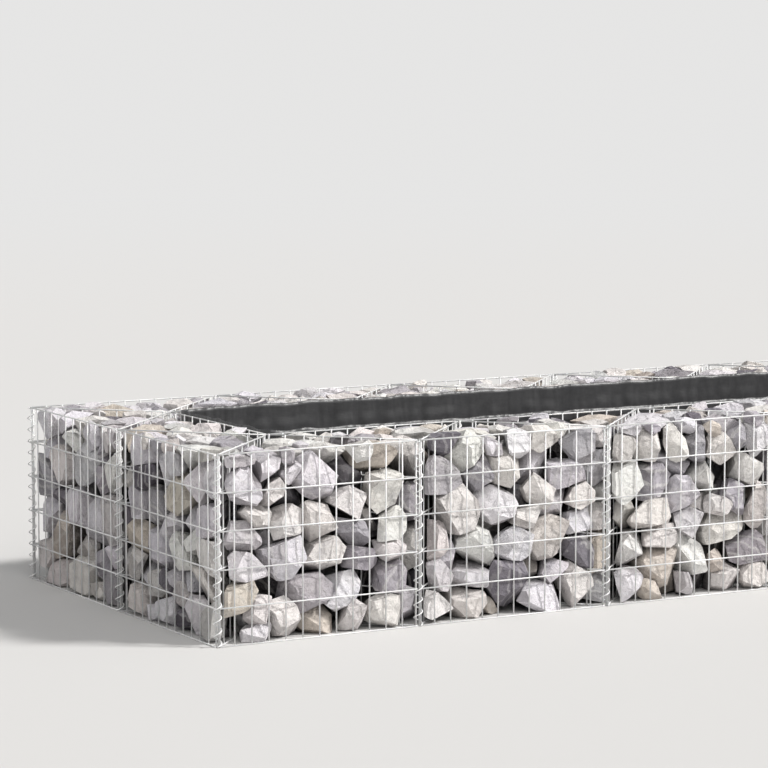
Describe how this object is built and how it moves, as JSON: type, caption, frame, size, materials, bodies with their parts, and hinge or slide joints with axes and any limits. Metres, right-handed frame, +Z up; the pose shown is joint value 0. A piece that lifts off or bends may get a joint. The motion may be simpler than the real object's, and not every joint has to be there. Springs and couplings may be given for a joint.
{
  "type": "gabion raised bed wall",
  "caption": "Low double wall of galvanised welded mesh filled with broken stone, laced with spirals, round a lined planting bed.",
  "frame": {"origin": "on the ground, under the middle of the bed", "axes": "+X along the front, to the right; +Y to the back; +Z up"},
  "size_m": [3.0284, 1.2284, 0.516],
  "materials": {
    "mesh_wire": "bright galvanised wire",
    "spiral_wire": "bright galvanised spiral wire",
    "liner_film": "black woven ground cloth",
    "broken_stone": "rough broken limestone, white to grey"
  },
  "bodies": {
    "root": {"back_braces": "mesh_wire", "back_inner_panels": "mesh_wire", "back_inner_spirals": "spiral_wire", "back_panel_1": "mesh_wire", "back_panel_2": "mesh_wire", "back_panel_3": "mesh_wire", "back_panel_4": "mesh_wire", "back_panel_5": "mesh_wire", "back_spirals": "spiral_wire", "back_stones": "broken_stone", "bed_liner": "liner_film", "corner_braces": "mesh_wire", "corner_spirals": "spiral_wire", "front_braces": "mesh_wire", "front_inner_panels": "mesh_wire", "front_inner_spirals": "spiral_wire", "front_panel_1": "mesh_wire", "front_panel_2": "mesh_wire", "front_panel_3": "mesh_wire", "front_panel_4": "mesh_wire", "front_panel_5": "mesh_wire", "front_spirals": "spiral_wire", "front_stones": "broken_stone", "inner_corner_spirals": "spiral_wire", "left_braces": "mesh_wire", "left_inner_panels": "mesh_wire", "left_panel_1": "mesh_wire", "left_panel_2": "mesh_wire", "left_spirals": "spiral_wire", "left_stones": "broken_stone", "right_braces": "mesh_wire", "right_inner_panels": "mesh_wire", "right_panel_1": "mesh_wire", "right_panel_2": "mesh_wire", "right_spirals": "spiral_wire", "right_stones": "broken_stone"}
  },
  "joints": []
}
